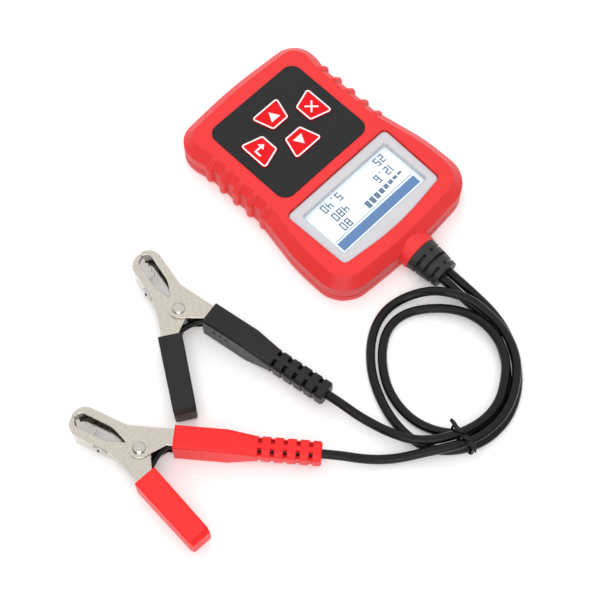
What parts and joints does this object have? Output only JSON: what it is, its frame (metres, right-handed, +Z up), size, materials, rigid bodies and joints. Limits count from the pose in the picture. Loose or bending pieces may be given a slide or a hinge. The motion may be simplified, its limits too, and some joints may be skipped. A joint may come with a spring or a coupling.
{
  "type": "battery tester",
  "caption": "Handheld battery tester with a ribbed moulded case, display, key pad and tied clip leads ending in spring-loaded jaws.",
  "frame": {"origin": "under the middle of the case, on the surface that it rests on", "axes": "+X to the right when the display is read, +Y along the case towards the cable, +Z up out of the face"},
  "size_m": [0.2241, 0.2155, 0.018],
  "materials": {
    "case_plastic": "finely textured moulded red plastic",
    "screw_steel": "zinc plated",
    "overlay_film": "matte black printed film",
    "key_rubber": "satin red",
    "switch_plastic": "black moulded plastic",
    "bezel_plastic": "light grey, smooth",
    "clear_window": "clear, polished",
    "display_glass": "pale blue display glass",
    "light_guide": "white light guide",
    "board_laminate": "green solder mask",
    "chip_plastic": "black epoxy",
    "resistor_body": "matt glaze",
    "black_rubber": "matt black moulded vinyl",
    "lead_jacket": "smooth black jacket",
    "red_sleeve": "soft red moulded vinyl",
    "black_sleeve": "soft black moulded vinyl",
    "plated_steel": "nickel plated, satin",
    "spring_steel": "bright spring wire",
    "white_insulator": "white moulded insulator",
    "tie_plastic": "black plastic strip"
  },
  "bodies": {
    "tester": {"front_shell": "case_plastic", "rear_shell": "case_plastic", "case_screws": "screw_steel", "keypad_overlay": "overlay_film", "tact_switches": "switch_plastic", "lcd_bezel": "bezel_plastic", "lcd_window": "clear_window", "lcd_glass": "display_glass", "lcd_backlight": "light_guide", "main_board": "board_laminate", "microcontroller": "chip_plastic", "load_resistors": "resistor_body", "cable_boot": "black_rubber", "lead_tails": "lead_jacket", "positive_fixed_jaw": "plated_steel", "positive_pivot_rivet": "plated_steel", "positive_spring": "spring_steel", "positive_clip_boot": "red_sleeve", "positive_lead_end": "lead_jacket", "positive_sense_wire": "lead_jacket", "negative_fixed_jaw": "plated_steel", "negative_pivot_rivet": "plated_steel", "negative_spring": "spring_steel", "negative_clip_boot": "black_sleeve", "negative_lead_end": "lead_jacket", "negative_sense_wire": "lead_jacket", "positive_lead": "lead_jacket", "negative_lead": "lead_jacket", "lead_tie": "tie_plastic"},
    "key_up_body": {"key_up": "key_rubber", "plunger_up": "switch_plastic"},
    "key_esc_body": {"key_esc": "key_rubber", "plunger_esc": "switch_plastic"},
    "key_down_body": {"key_down": "key_rubber", "plunger_down": "switch_plastic"},
    "key_enter_body": {"key_enter": "key_rubber", "plunger_enter": "switch_plastic"},
    "positive_clip_lever": {"positive_moving_jaw": "plated_steel", "positive_contact_plate": "plated_steel", "positive_contact_bush": "white_insulator", "positive_contact_rivet": "plated_steel", "positive_grip": "red_sleeve"},
    "negative_clip_lever": {"negative_moving_jaw": "plated_steel", "negative_contact_plate": "plated_steel", "negative_contact_bush": "white_insulator", "negative_contact_rivet": "plated_steel", "negative_grip": "black_sleeve"}
  },
  "joints": [
    {"name": "key_up_press", "type": "slide", "parent": "tester", "child": "key_up_body", "axis": [0, 0, -1], "range_m": [0, 0.0005], "stiffness_N_per_m": 1500, "springref_m": -0.0003},
    {"name": "key_esc_press", "type": "slide", "parent": "tester", "child": "key_esc_body", "axis": [0, 0, -1], "range_m": [0, 0.0005], "stiffness_N_per_m": 1500, "springref_m": -0.0003},
    {"name": "key_down_press", "type": "slide", "parent": "tester", "child": "key_down_body", "axis": [0, 0, -1], "range_m": [0, 0.0005], "stiffness_N_per_m": 1500, "springref_m": -0.0003},
    {"name": "key_enter_press", "type": "slide", "parent": "tester", "child": "key_enter_body", "axis": [0, 0, -1], "range_m": [0, 0.0005], "stiffness_N_per_m": 1500, "springref_m": -0.0003},
    {"name": "positive_clip_open", "type": "hinge", "parent": "tester", "child": "positive_clip_lever", "pos_m": [0.16185, 0.04305, 0.0077], "axis": [0, 0, 1], "range_deg": [0, 32], "stiffness_Nm_per_rad": 0.5, "springref_deg": -34.38, "deforming": ["positive_spring", "positive_sense_wire"]},
    {"name": "negative_clip_open", "type": "hinge", "parent": "tester", "child": "negative_clip_lever", "pos_m": [0.1028, 0.0059, 0.0077], "axis": [0, 0, 1], "range_deg": [0, 32], "stiffness_Nm_per_rad": 0.5, "springref_deg": -34.38, "deforming": ["negative_spring", "negative_sense_wire"]}
  ]
}
